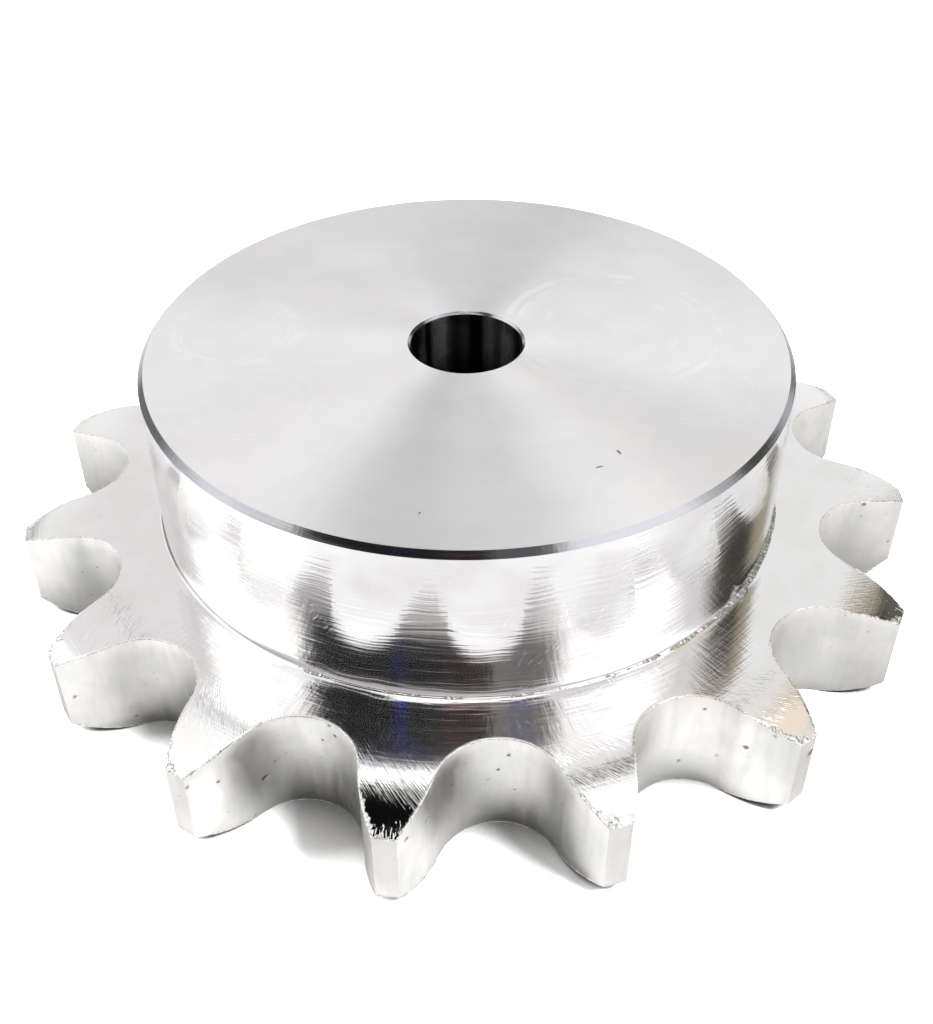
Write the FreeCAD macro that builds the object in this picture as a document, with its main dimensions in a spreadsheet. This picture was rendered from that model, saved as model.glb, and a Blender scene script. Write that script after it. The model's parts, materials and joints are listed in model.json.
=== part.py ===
import FreeCAD, Part
import math
import os

import Sketcher

# A plate-wheel chain sprocket with a hub on one side, turned and hobbed from one piece of stainless steel.
# The origin is where the chain line crosses the bore axis: on the axis, half way through the teeth.
# +Z runs along the bore towards the hub's face, and one tooth gap is centred on -Y.

doc = FreeCAD.newDocument("chain_sprocket")

# Driving dimensions: a count, one angle in degrees, and millimetres
DIMENSIONS = [
    ("teeth", 15, "number of teeth"),
    ("chain_pitch", 25.4, "distance between the chain's pins"),
    ("roller_diameter", 15.88, "diameter of the chain's rollers"),
    ("seat_clearance", 0.16, "how much larger the seat's radius is than the roller's"),
    ("seat_angle", 134, "how far the seat's arc wraps round a roller"),
    ("flank_radius", 24.4, "radius of the bulging flank between a seat and a tip"),
    ("addendum", 5.415, "height of the tips above the pitch circle"),
    ("tooth_width", 16.2, "thickness of the toothed plate"),
    ("relief_radius", 25.4, "radius that rounds both sides of a tooth towards its tip"),
    ("relief_depth", 2.4, "how far that rounding narrows each side at the tip"),
    ("overall_length", 40, "from the plate's back face to the hub's face"),
    ("hub_diameter", 92, "outer diameter of the hub"),
    ("hub_chamfer", 0.8, "bevel round the hub's face"),
    ("root_fillet", 0.5, "corner that the turning tool's nose leaves between hub and plate"),
    ("bore_diameter", 16, "diameter of the pilot bore"),
    ("bore_chamfer", 0.35, "bevel round both mouths of the bore"),
    ("cutter_overrun", 1, "how far the gap's cutter runs past the tips and the plate's faces"),
]
sheet = doc.addObject("Spreadsheet::Sheet", "Dimensions")
for row, (alias, value, meaning) in enumerate(DIMENSIONS, start=1):
    sheet.set(f"A{row}", alias)
    sheet.set(f"B{row}", str(value))
    sheet.set(f"C{row}", meaning)
    sheet.setAlias(f"B{row}", alias)
doc.recompute()

# Sizes that follow from the driving ones, in the order in which they need each other
FOLLOWING = [
    ("pitch_radius", "Dimensions.chain_pitch / (2 * sin(180 / Dimensions.teeth))"),
    ("tip_radius", "Derived.pitch_radius + Dimensions.addendum"),
    ("gap_reach", "Derived.tip_radius + Dimensions.cutter_overrun"),
    ("gap_depth", "Dimensions.tooth_width + 2 * Dimensions.cutter_overrun"),
    ("seat_radius", "Dimensions.roller_diameter / 2 + Dimensions.seat_clearance"),
    ("plate_face", "Dimensions.tooth_width / 2"),
    ("hub_face", "Dimensions.overall_length - Derived.plate_face"),
    ("hub_radius", "Dimensions.hub_diameter / 2"),
    ("bore_radius", "Dimensions.bore_diameter / 2"),
]
derived = doc.addObject("App::VarSet", "Derived")
for name, expression in FOLLOWING:
    derived.addProperty("App::PropertyFloat", name, "Sizes")
    derived.setExpression(name, expression)
doc.recompute()


def origin_feature(body, role):
    """The body's own origin plane or axis of that role."""
    return next(item for item in body.Origin.OriginFeatures if item.Role == role)


def new_sketch(body, name, plane):
    """An empty sketch on one of the body's origin planes."""
    sketch = body.newObject("Sketcher::SketchObject", name)
    sketch.AttachmentSupport = (origin_feature(body, plane), [""])
    sketch.MapMode = "FlatFace"
    return sketch


def dimension(sketch, kind, places, source, name):
    """Adds a dimension between places of a sketch, bound to a named size of the sheet or of what follows."""
    value = float(getattr(source, name))
    if kind == "Angle":
        index = sketch.addConstraint(Sketcher.Constraint(kind, *places, math.radians(value)))
        sketch.setExpression(f"Constraints[{index}]", f"{source.Name}.{name} * 1 deg")
    else:
        index = sketch.addConstraint(Sketcher.Constraint(kind, *places, value))
        sketch.setExpression(f"Constraints[{index}]", f"{source.Name}.{name}")


def line(start, end):
    return Part.LineSegment(FreeCAD.Vector(*start), FreeCAD.Vector(*end))


def arc(centre, radius, start_angle, end_angle):
    """An arc that runs anticlockwise from one angle to the other, in radians."""
    circle = Part.Circle(FreeCAD.Vector(*centre), FreeCAD.Vector(0, 0, 1), radius)
    return Part.ArcOfCircle(circle, start_angle, end_angle)


# A sketch's own places: the start, end and centre of an edge, its two axes, and the origin where they start
START, END, CENTRE = range(1, 4)
H_AXIS, V_AXIS = -1, -2
ORIGIN = (H_AXIS, START)


def turned_profile(body):
    """Half of the section that the lathe leaves: bore, back face, rounded tooth sides, plate face and hub."""
    sketch = new_sketch(body, "turned_profile", "XZ_Plane")
    bore, tip, hub = derived.bore_radius, derived.tip_radius, derived.hub_radius
    plate, face = derived.plate_face, derived.hub_face
    radius, depth = sheet.relief_radius, sheet.relief_depth
    relief_turn = math.acos(1 - depth / radius)
    relief_start = tip - radius * math.sin(relief_turn)

    back_face, back_relief, tip_line, front_relief, plate_line, hub_side, hub_line, bore_wall = sketch.addGeometry([
        line((bore, -plate), (relief_start, -plate)),
        arc((relief_start, radius - plate), radius, -math.pi / 2, relief_turn - math.pi / 2),
        line((tip, depth - plate), (tip, plate - depth)),
        arc((relief_start, plate - radius), radius, math.pi / 2 - relief_turn, math.pi / 2),
        line((relief_start, plate), (hub, plate)),
        line((hub, plate), (hub, face)),
        line((hub, face), (bore, face)),
        line((bore, face), (bore, -plate)),
    ])
    for edge, following in [(back_relief, tip_line), (tip_line, front_relief), (plate_line, hub_side),
                            (hub_side, hub_line), (hub_line, bore_wall), (bore_wall, back_face)]:
        sketch.addConstraint(Sketcher.Constraint("Coincident", edge, END, following, START))
    for edge in (back_face, plate_line, hub_line):
        sketch.addConstraint(Sketcher.Constraint("Horizontal", edge))
    for edge in (tip_line, hub_side, bore_wall):
        sketch.addConstraint(Sketcher.Constraint("Vertical", edge))
    sketch.addConstraint(Sketcher.Constraint("Tangent", back_face, END, back_relief, START))
    sketch.addConstraint(Sketcher.Constraint("Tangent", front_relief, END, plate_line, START))
    sketch.addConstraint(Sketcher.Constraint("Symmetric", back_face, END, plate_line, START, H_AXIS))
    sketch.addConstraint(Sketcher.Constraint("Equal", back_relief, front_relief))

    dimension(sketch, "Radius", (back_relief,), sheet, "relief_radius")
    dimension(sketch, "DistanceY", (back_relief, START, back_relief, END), sheet, "relief_depth")
    dimension(sketch, "DistanceY", (back_face, END, plate_line, START), sheet, "tooth_width")
    dimension(sketch, "DistanceY", (bore_wall, END, bore_wall, START), sheet, "overall_length")
    dimension(sketch, "DistanceX", (*ORIGIN, bore_wall, END), derived, "bore_radius")
    dimension(sketch, "DistanceX", (*ORIGIN, hub_side, START), derived, "hub_radius")
    dimension(sketch, "DistanceX", (*ORIGIN, tip_line, START), derived, "tip_radius")
    return sketch


def gap_profile(body):
    """One tooth gap: the arc that seats a roller, a bulging flank on each side, and a line outside the tips."""
    sketch = new_sketch(body, "gap_profile", "XY_Plane")
    pitch, seat, reach = derived.pitch_radius, derived.seat_radius, derived.gap_reach
    flank = sheet.flank_radius
    half = math.radians(sheet.seat_angle) / 2
    flank_x = (seat + flank) * math.sin(half)
    flank_y = (seat + flank) * math.cos(half) - pitch
    mouth_turn = math.asin((reach + flank_y) / flank)
    mouth_x = flank_x - flank * math.cos(mouth_turn)
    seat_turn = math.pi / 2 - half

    seat_arc, right_flank, left_flank, mouth = sketch.addGeometry([
        arc((0, -pitch), seat, math.pi / 2 - half, math.pi / 2 + half),
        arc((flank_x, flank_y), flank, math.pi + seat_turn, math.pi + mouth_turn),
        arc((-flank_x, flank_y), flank, -mouth_turn, -seat_turn),
        line((-mouth_x, -reach), (mouth_x, -reach)),
    ])
    sketch.addConstraint(Sketcher.Constraint("Tangent", seat_arc, START, right_flank, START))
    sketch.addConstraint(Sketcher.Constraint("Tangent", seat_arc, END, left_flank, END))
    sketch.addConstraint(Sketcher.Constraint("Coincident", right_flank, END, mouth, END))
    sketch.addConstraint(Sketcher.Constraint("Coincident", left_flank, START, mouth, START))
    sketch.addConstraint(Sketcher.Constraint("PointOnObject", seat_arc, CENTRE, V_AXIS))
    sketch.addConstraint(Sketcher.Constraint("Horizontal", seat_arc, START, seat_arc, END))
    sketch.addConstraint(Sketcher.Constraint("Equal", right_flank, left_flank))
    sketch.addConstraint(Sketcher.Constraint("Horizontal", mouth))

    dimension(sketch, "Radius", (seat_arc,), derived, "seat_radius")
    dimension(sketch, "Angle", (seat_arc,), sheet, "seat_angle")
    dimension(sketch, "Radius", (right_flank,), sheet, "flank_radius")
    dimension(sketch, "DistanceY", (seat_arc, CENTRE, *ORIGIN), derived, "pitch_radius")
    dimension(sketch, "DistanceY", (mouth, START, *ORIGIN), derived, "gap_reach")
    return sketch


def rim(feature, radius, height):
    """The name of the feature's round edge of that radius at that height."""
    for index, edge in enumerate(feature.Shape.Edges, start=1):
        curve = edge.Curve
        if isinstance(curve, Part.Circle) and math.isclose(curve.Radius, radius, abs_tol=1e-6):
            if math.isclose(curve.Center.z, height, abs_tol=1e-6):
                return f"Edge{index}"
    raise RuntimeError(f"no round edge of radius {radius} at height {height}")


def edge_feature(body, kind, name, base, rims, size_property, size_name):
    """A fillet or chamfer on round edges of the feature before it."""
    feature = body.newObject(f"PartDesign::{kind}", name)
    feature.Base = (base, rims)
    feature.setExpression(size_property, f"Dimensions.{size_name}")
    doc.recompute()
    return feature


sprocket = doc.addObject("PartDesign::Body", "sprocket")
sprocket.Label = "sprocket"

blank = sprocket.newObject("PartDesign::Revolution", "turned_blank")
blank.Profile = turned_profile(sprocket)
blank.ReferenceAxis = (origin_feature(sprocket, "Z_Axis"), [""])
blank.Angle = 360
doc.recompute()

hub_radius, bore_radius = derived.hub_radius, derived.bore_radius
hub_face, plate_face = derived.hub_face, derived.plate_face
rounded = edge_feature(sprocket, "Fillet", "hub_root", blank,
                       [rim(blank, hub_radius, plate_face)], "Radius", "root_fillet")
bevelled = edge_feature(sprocket, "Chamfer", "hub_rim", rounded,
                        [rim(rounded, hub_radius, hub_face)], "Size", "hub_chamfer")
turned = edge_feature(sprocket, "Chamfer", "bore_mouths", bevelled,
                      [rim(bevelled, bore_radius, hub_face), rim(bevelled, bore_radius, -plate_face)],
                      "Size", "bore_chamfer")

gap = sprocket.newObject("PartDesign::Pocket", "tooth_gap")
gap.Profile = gap_profile(sprocket)
gap.Type = "Length"
gap.Midplane = True
gap.setExpression("Length", "Derived.gap_depth")
doc.recompute()

tooth_ring = sprocket.newObject("PartDesign::PolarPattern", "tooth_ring")
tooth_ring.Originals = [gap]
tooth_ring.Axis = (origin_feature(sprocket, "Z_Axis"), [""])
tooth_ring.Angle = 360
tooth_ring.setExpression("Occurrences", "Dimensions.teeth")
sprocket.Tip = tooth_ring
doc.recompute()

# Every object has to be sound, the gap has to take metal away, and each tooth gap has to have its seat
failed = [item.Label for item in doc.Objects if {"Invalid", "Error"} & set(item.State)]
if failed:
    raise RuntimeError(f"failed to build: {failed}")
if sprocket.Shape.isNull() or not sprocket.Shape.isValid():
    raise RuntimeError("the sprocket's shape is not sound")
if gap.Shape.Volume >= turned.Shape.Volume:
    raise RuntimeError("the gap's cutter misses the blank")
seats = [face for face in sprocket.Shape.Faces if isinstance(face.Surface, Part.Cylinder)
         and math.isclose(face.Surface.Radius, derived.seat_radius, abs_tol=1e-6)
         and math.isclose(math.hypot(*face.Surface.Center[:2]), derived.pitch_radius, abs_tol=1e-6)]
if len(seats) != sheet.teeth:
    raise RuntimeError(f"{len(seats)} seats for {sheet.teeth} teeth")

os.makedirs("parts", exist_ok=True)
sprocket.Shape.exportStep(os.path.join("parts", f"{sprocket.Label}.step"))
box = sprocket.Shape.optimalBoundingBox()
print(f"{sprocket.Label}: {box.XLength:.2f} x {box.YLength:.2f} x {box.ZLength:.2f} mm, "
      f"{sprocket.Shape.Volume / 1000:.1f} cm3, {len(sprocket.Shape.Faces)} faces, "
      f"{len(sprocket.Shape.Solids)} solid, pitch diameter {2 * derived.pitch_radius:.2f} mm")
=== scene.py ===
# %% [markdown]
# # A chain sprocket in machined stainless steel
# The part is one piece: a hub, and a plate with fifteen teeth for a roller chain. Nothing on it is
# painted or plated, so all that the eye gets is bare metal and the marks that each tool left on it.
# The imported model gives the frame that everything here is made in: metres, with the bore along Z and the
# origin half way through the teeth. Loading it first means that nothing has to be fitted to it
# afterwards.

import json
import math

import bpy
import numpy as np
from mathutils import Matrix, Vector
from mathutils.bvhtree import BVHTree

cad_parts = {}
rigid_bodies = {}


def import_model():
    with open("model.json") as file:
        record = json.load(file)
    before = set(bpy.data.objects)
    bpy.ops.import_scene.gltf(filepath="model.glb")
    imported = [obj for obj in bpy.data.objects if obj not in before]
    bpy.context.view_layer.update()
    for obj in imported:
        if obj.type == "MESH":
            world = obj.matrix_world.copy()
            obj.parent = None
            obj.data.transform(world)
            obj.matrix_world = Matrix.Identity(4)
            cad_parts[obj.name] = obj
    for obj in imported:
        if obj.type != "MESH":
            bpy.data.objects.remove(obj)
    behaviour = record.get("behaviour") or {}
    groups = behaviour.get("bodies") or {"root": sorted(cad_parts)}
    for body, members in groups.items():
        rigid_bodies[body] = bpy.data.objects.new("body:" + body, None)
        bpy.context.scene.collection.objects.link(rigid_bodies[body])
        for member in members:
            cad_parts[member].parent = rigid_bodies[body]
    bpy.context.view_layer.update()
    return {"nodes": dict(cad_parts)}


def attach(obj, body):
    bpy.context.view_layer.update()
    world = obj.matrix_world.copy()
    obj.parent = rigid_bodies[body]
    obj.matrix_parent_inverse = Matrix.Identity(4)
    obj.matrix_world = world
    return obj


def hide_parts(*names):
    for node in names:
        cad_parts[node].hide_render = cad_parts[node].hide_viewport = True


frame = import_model()

# %% [markdown]
# ## Colours and nodes
# A colour is written as the hex value that a screen shows. Blender's shaders work in linear light, so one
# function turns the one into the other. A material is a tree of nodes, and a second function adds a node
# to such a tree. Its settings and its links are given where it is made, so each line reads as one step of
# the finish. The two settings that come up all the time have a name.

# %% One function for colours, one for nodes


def linear(hex_colour):
    """An sRGB hex colour as the four linear numbers that a shader takes."""
    channels = [int(hex_colour[i:i + 2], 16) / 255 for i in (1, 3, 5)]
    return [c / 12.92 if c <= 0.04045 else ((c + 0.055) / 1.055) ** 2.4 for c in channels] + [1.0]


def add(tree, kind, inputs=None, **settings):
    """Adds one node. An input is a value, an output, or a node, whose first output is then linked."""
    made = tree.nodes.new("ShaderNode" + kind)
    for name, value in settings.items():
        setattr(made, name, value)
    for key, value in (inputs or {}).items():
        if isinstance(value, bpy.types.Node):
            value = value.outputs[0]
        if isinstance(value, bpy.types.NodeSocket):
            tree.links.new(value, made.inputs[key])
        else:
            made.inputs[key].default_value = value
    return made


TIMES = {"operation": "MULTIPLY"}
SMOOTH = {"interpolation_type": "SMOOTHSTEP"}
print("mid grey #808080 is", round(linear("#808080")[0], 3), "in linear light")

# %% [markdown]
# ## The camera
# The object was photographed from close by, a little to one side of a tooth gap and well above it. That
# closeness is what makes the front teeth so much larger than those at the back. So the camera stands at
# the real distance, about 20 cm, and the lens follows from it. It could be placed by eye, but here it
# comes from named values: where it stands round the axis, how high, how far away, and how its aim leaves
# the middle of the plate.

# %% Make the camera
MM = 0.001
PLATE_FACE = 8.1
CAMERA_HEADING = math.radians(-93.45)
CAMERA_ELEVATION = math.radians(37.65)
CAMERA_DISTANCE = 197.5
AIM_PAN, AIM_TILT, AIM_ROLL = 0.0007, -0.0296, 0.0060
LENS = 45.17

away = Vector((
    math.cos(CAMERA_HEADING) * math.cos(CAMERA_ELEVATION),
    math.sin(CAMERA_HEADING) * math.cos(CAMERA_ELEVATION),
    math.sin(CAMERA_ELEVATION),
))
forward = -away
right = forward.cross(Vector((0, 0, 1))).normalized()
up = right.cross(forward)
turn = Matrix.Rotation(AIM_PAN, 3, up)
forward, right = turn @ forward, turn @ right
turn = Matrix.Rotation(AIM_TILT, 3, right)
forward, up = turn @ forward, turn @ up
turn = Matrix.Rotation(AIM_ROLL, 3, forward)
right, up = turn @ right, turn @ up

camera_data = bpy.data.cameras.new("camera")
camera_data.lens = LENS
camera_data.clip_start = 0.01
camera_data.clip_end = 50
camera = bpy.data.objects.new("camera", camera_data)
bpy.context.scene.collection.objects.link(camera)
place = Matrix.Translation((Vector((0, 0, PLATE_FACE)) + CAMERA_DISTANCE * away) * MM)
camera.matrix_world = place @ Matrix((right, up, -forward)).transposed().to_4x4()
bpy.context.scene.camera = camera
bpy.context.scene.view_settings.view_transform = "Standard"
print("camera at", [round(value, 4) for value in camera.matrix_world.translation])

# %% [markdown]
# ## The studio
# Bare metal has no colour of its own to speak of: it shows the room. This room is a white tent with soft
# light from all round, and the few dark things in it are what give the steel its shape: a dark figure
# behind the camera, a gap over the object where the tent is open, and dark corners to the right and far
# to the left. The tent could be built from lamps and cards, but each would show in other views. As the
# world it hides nothing, and every patch is one row of a table: where it is seen from the object, how
# large it is, how soft its edge is, its colour and its strength. A patch is a squircle, a square with
# round corners, because windows, cards and people are nearer to that than to a disc. Later rows are laid
# over earlier ones: the plain tent under the two soft boxes, for one, is laid over their lower ends.
# The sky is laid in four quarters, to the left and right in front of the object and behind it. A ray needs
# only one of them, and the picture is done sooner.

# %% The world: a white tent with patches
world = bpy.data.worlds.new("white_tent")
bpy.context.scene.world = world
world.use_nodes = True
sky = world.node_tree
sky.nodes.clear()

# heading (0 is where the camera stands, 90 to its right), elevation, half width, half height in degrees,
# softness of the edge, colour, strength
PATCHES = [
    ("left_softbox", -91, 22, 30, 28, 0.30, "#FFFFFF", 1.85),
    ("right_softbox", 56, 28, 27, 22, 0.30, "#FFFFFF", 1.95),
    ("under_boxes", 0, 2, 400, 19, 0.25, "#F4F4F4", 0.95),
    ("upper_left", -105, 60, 45, 10, 0.30, "#FFFFFF", 1.25),
    ("right_top", 115, 73, 45, 9, 0.30, "#FFFFFF", 1.25),
    ("back_low", 180, 16, 70, 14, 0.40, "#FFFFFF", 1.05),
    ("left_far", -150, 42, 27, 7, 0.30, "#F6F3F5", 1.0),
    ("left_low_dark", -125, 5, 16, 14, 0.40, "#9A9A98", 1.0),
    ("sleeve", -14, 47, 48, 11.5, 0.12, "#7D7B77", 1.0),
    ("dark_figure", -29, 47, 34, 11.5, 0.12, "#050505", 1.0),
    ("front_low", -25, 11, 54, 25.5, 0.22, "#D6D4D4", 1.0),
    ("front_top", -5, 64, 45, 5, 0.20, "#FFFFFF", 2.1),
    ("blue_high", -28, 54.5, 3, 3, 0.35, "#2836B0", 1.0),
    ("red_high", -2, 54.5, 9, 3, 0.35, "#63313A", 1.0),
    ("violet_high", 21, 54.5, 6, 3, 0.35, "#45468E", 1.0),
    ("blue_low", -26, 44, 2, 7, 0.50, "#0D1130", 1.0),
    ("brown_low", 2, 45, 7, 7, 0.50, "#1E110A", 1.0),
    ("open_top", -105, 78.5, 62, 10.5, 0.10, "#0C0C0D", 1.0),
    ("ceiling_beam", -178, 53, 13, 9, 0.40, "#38393B", 1.0),
    ("back_top", -172, 65, 14, 4, 0.30, "#FFFFFF", 2.4),
    ("olive_wall", 151, 64, 9, 6, 0.40, "#5C5846", 1.0),
    ("dark_corner", 117, 28, 20, 18, 0.25, "#66645C", 1.0),
    ("corner_core", 118, 39, 12, 6, 0.40, "#45443C", 1.0),
    ("beige_wall", 116, 53, 22, 4.5, 0.50, "#FAEBD8", 1.10),
    ("tan_wall", 135, 42, 8, 8, 0.40, "#B4AC98", 1.0),
    ("left_lamp", -100, 50, 8, 9, 0.30, "#FFFFFF", 3.0),
    ("right_lamp", 100, 66, 12, 9, 0.30, "#FFFFFF", 4.4),
]
TENT_LEVEL = 0.97

coords = add(sky, "TexCoord").outputs["Generated"]
to_front = {"Vector": coords, "Angle": -math.pi / 2 - CAMERA_HEADING}
facing = add(sky, "VectorRotate", to_front, rotation_type="Z_AXIS")
axes = add(sky, "SeparateXYZ", {0: facing})
toward = add(sky, "Math", {0: axes.outputs["Y"], 1: -1.0}, **TIMES)
bearing = add(sky, "Math", {0: axes.outputs["X"], 1: toward}, operation="ARCTAN2")
height = add(sky, "Math", {0: axes.outputs["Z"]}, operation="ARCSINE")
angles = add(sky, "CombineXYZ", {0: bearing, 1: height})
degrees = add(sky, "VectorMath", {0: angles, 1: [math.degrees(1)] * 3}, **TIMES)


def patch_over(shade, row):
    """Lays one row of the table over a colour. The seam of the angles lies behind the object."""
    _, heading, elevation, half_width, half_height, softness, colour, strength = row
    place = degrees
    if abs(heading) + half_width * (1 + softness) > 180:
        seam = math.copysign(90, heading)
        turned = {0: place, 1: [180 + seam] * 3, 2: [seam - 180] * 3}
        place = add(sky, "VectorMath", turned, operation="WRAP")
    scale = (1 / half_width, 1 / half_height, 0)
    shift = (-heading / half_width, -elevation / half_height, 0)
    shares = add(sky, "VectorMath", {0: place, 1: scale, 2: shift}, operation="MULTIPLY_ADD")
    squares = add(sky, "VectorMath", {0: shares, 1: shares}, **TIMES)
    fourth = add(sky, "VectorMath", {0: squares, 1: squares}, operation="DOT_PRODUCT").outputs["Value"]
    reach = add(sky, "Math", {0: fourth, 1: 1 / 4}, operation="POWER")
    edge = {0: reach, 1: 1 + softness, 2: 1 - softness}
    mask = add(sky, "MapRange", edge, **SMOOTH)
    level = [c * strength for c in linear(colour)[:3]] + [1.0]
    return add(sky, "Mix", {0: mask, 6: shade, 7: level}, data_type="RGBA").outputs[2]


quarters = []
for middle in (45, -45, 135, -135):
    shade = [TENT_LEVEL] * 3 + [1.0]
    for row in PATCHES:
        heading, half_width, softness = row[1], row[3], row[5]
        from_middle = abs((heading - middle + 180) % 360 - 180)
        if from_middle < 45 + half_width * (1 + softness):
            shade = patch_over(shade, row)
    quarters.append(add(sky, "Background", {"Color": shade}))
on_left = add(sky, "Math", {0: axes.outputs["X"], 1: 0.0}, operation="LESS_THAN")
behind = add(sky, "Math", {0: toward, 1: 0.0}, operation="LESS_THAN")
in_front = add(sky, "MixShader", {0: on_left, 1: quarters[0], 2: quarters[1]})
at_back = add(sky, "MixShader", {0: on_left, 1: quarters[2], 2: quarters[3]})
tent = add(sky, "MixShader", {0: behind, 1: in_front, 2: at_back})
backdrop = add(sky, "Background", {"Color": linear("#FFFFFF")})
sees = add(sky, "LightPath").outputs["Is Camera Ray"]
seen = add(sky, "MixShader", {0: sees, 1: tent, 2: backdrop})
add(sky, "OutputWorld", {"Surface": seen})
print("world made with", len(PATCHES), "patches on a tent of level", TENT_LEVEL)

# %% [markdown]
# ## Two lamps for the paper
# The tent alone would leave the paper without a direction of light. In the photograph the dark spots in
# the tooth gaps lie mostly to the left, so the stronger lamp stands to the right, rather high, and a
# weaker and lower one to the left. Both are wide enough for a shadow with a soft edge. The steel doesn't
# mirror them: their share of the reflections is already in the table above.

# %% Two lamps that only the paper sees
# heading and elevation in degrees as in the table above, power in watts
LAMPS = {"right_lamp": (58, 50, 9.0), "left_lamp": (-92, 34, 6.5)}
LAMP_DISTANCE = 0.5
LAMP_SIZE = 0.16

for name, (heading, elevation, power) in LAMPS.items():
    lamp_data = bpy.data.lights.new(name, "AREA")
    lamp_data.shape = "DISK"
    lamp_data.size = LAMP_SIZE
    lamp_data.energy = power
    lamp = bpy.data.objects.new(name, lamp_data)
    across, raised = math.radians(heading) + CAMERA_HEADING, math.radians(elevation)
    flat = math.cos(raised)
    lamp_from = Vector((flat * math.cos(across), flat * math.sin(across), math.sin(raised)))
    lamp.location = LAMP_DISTANCE * lamp_from
    lamp.rotation_euler = lamp_from.to_track_quat("Z", "Y").to_euler()
    lamp.visible_glossy = False
    lamp.visible_camera = False
    bpy.context.scene.collection.objects.link(lamp)
    print(name, "at", [round(value, 3) for value in lamp.location])

# %% [markdown]
# ## The floor
# The sprocket lies on its back on white paper. In the photograph the paper is brighter than the picture
# can hold, so it is plain white, and only the deep shadow inside the tooth gaps shows. One grey for the
# paper can't give both that and what the steel shows of it, so the level depends on who looks. The camera
# sees it white near the object, and whiter far out, where the lamps no longer reach. The light that it
# sends up is that of real paper. In the metal it is much darker, with a level for the front and one for
# the sides, near the teeth and farther out: painted shade on the paper as the steel mirrors it. The small
# dark spots right under the teeth are painted shade too, from a node that asks how closed in a place is.
# In the metal they are weaker.

# %% Make the floor
BACK_FACE = -8.1
FLOOR_SIZE = 6.0
# levels of the paper, and where they change, in mm sideways or from the middle
PAPER = 0.80
PAPER_SEEN, PAPER_FAR = 0.82, 1.35
FAR_FROM, FAR_TO = 120, 600
SIDES_START, SIDES_END = 38, 62
NEAR_FRONT, NEAR_SIDES = 0.33, 0.14
FAR_FRONT, FAR_SIDES = 0.20, 0.25
NEAR_START, NEAR_END = 62, 76
RIGHT_SHARE, RIGHT_START, RIGHT_END = 0.86, 36, 60
CONTACT_REACH, CONTACT_SAMPLES = 15, 10
CONTACT_DARK, CONTACT_OPEN = 0.24, 0.50
CONTACT_IN_METAL = 0.25
SHADOW_TINT = "#1F1E23"
PAPER_GAP = 0.01

floor_mesh = bpy.data.meshes.new("white_paper")
half = FLOOR_SIZE / 2
corners = [(-half, -half, 0), (half, -half, 0), (half, half, 0), (-half, half, 0)]
floor_mesh.from_pydata(corners, [], [(0, 1, 2, 3)])
floor = bpy.data.objects.new("white_paper", floor_mesh)
floor.location = (0, 0, (BACK_FACE - PAPER_GAP) * MM)
bpy.context.scene.collection.objects.link(floor)

paper = bpy.data.materials.new("matt_white_paper")
paper.use_nodes = True
tree = paper.node_tree
tree.nodes.clear()
ray = add(tree, "LightPath")
coords = add(tree, "TexCoord").outputs["Object"]
to_right = (-math.sin(CAMERA_HEADING) / MM, math.cos(CAMERA_HEADING) / MM, 0)
sideways = add(tree, "VectorMath", {0: coords, 1: to_right}, operation="DOT_PRODUCT")
apart = add(tree, "Math", {0: sideways.outputs["Value"]}, operation="ABSOLUTE")
# painted shade: the paper's level in what the steel mirrors, set by its place on the floor
levels = []
for front, side in ((NEAR_FRONT, NEAR_SIDES), (FAR_FRONT, FAR_SIDES)):
    across = {0: apart, 1: SIDES_START, 2: SIDES_END, 3: front, 4: side}
    levels.append(add(tree, "MapRange", across, **SMOOTH))
from_middle = add(tree, "VectorMath", {0: coords}, operation="LENGTH").outputs["Value"]
outward = {0: from_middle, 1: NEAR_START * MM, 2: NEAR_END * MM}
outward = add(tree, "MapRange", outward, **SMOOTH)
in_metal = add(tree, "Mix", {0: outward, 2: levels[0], 3: levels[1]})
rightward = {0: sideways.outputs["Value"], 1: RIGHT_START, 2: RIGHT_END, 3: 1.0, 4: RIGHT_SHARE}
rightward = add(tree, "MapRange", rightward, **SMOOTH)
in_metal = add(tree, "Math", {0: in_metal, 1: rightward}, **TIMES)
white_out = {0: from_middle, 1: FAR_FROM * MM, 2: FAR_TO * MM, 3: PAPER_SEEN, 4: PAPER_FAR}
white_out = add(tree, "MapRange", white_out)
seen_level = add(tree, "Mix", {0: ray.outputs["Is Camera Ray"], 2: PAPER, 3: white_out})
by_ray = {0: ray.outputs["Is Glossy Ray"], 2: seen_level, 3: in_metal}
open_level = add(tree, "Mix", by_ray)
# painted shade: the paper's colour is darker where a place is closed in, and less so in the metal
reach = {"Distance": CONTACT_REACH * MM}
room = add(tree, "AmbientOcclusion", reach, samples=CONTACT_SAMPLES)
free = {0: room.outputs["AO"], 1: CONTACT_DARK, 2: CONTACT_OPEN}
free = add(tree, "MapRange", free, **SMOOTH)
least = add(tree, "Math", {0: ray.outputs["Is Glossy Ray"], 1: CONTACT_IN_METAL}, **TIMES)
free = add(tree, "Math", {0: free, 1: least}, operation="MAXIMUM")
tint = {0: free, 6: linear(SHADOW_TINT), 7: linear("#FFFFFF")}
painted_shade_tone = add(tree, "Mix", tint, data_type="RGBA")
lit = add(tree, "VectorMath", {0: painted_shade_tone.outputs[2], 3: open_level}, operation="SCALE")
matt = add(tree, "BsdfDiffuse", {"Color": lit})
add(tree, "OutputMaterial", {"Surface": matt})
floor_mesh.materials.append(paper)
print("floor at", round(floor.location.z, 5), "m, on which the sprocket's back lies")

# %% [markdown]
# ## The outline of the teeth
# A hob cuts the gap that a chain's roller rests in: a round seat, a bulging flank on each side of it, and
# then the narrow land at the tooth's tip, which is what is left of the turned blank. The three arcs meet
# smoothly, apart from the corner at the tip. So the outline is worked out from the same few sizes as the
# part, in millimetres, rather than drawn: half a gap first, then its mirror image, then fifteen of them
# round the axis. A point of the outline is one complex number here, because turning it is then one
# multiplication.

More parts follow.
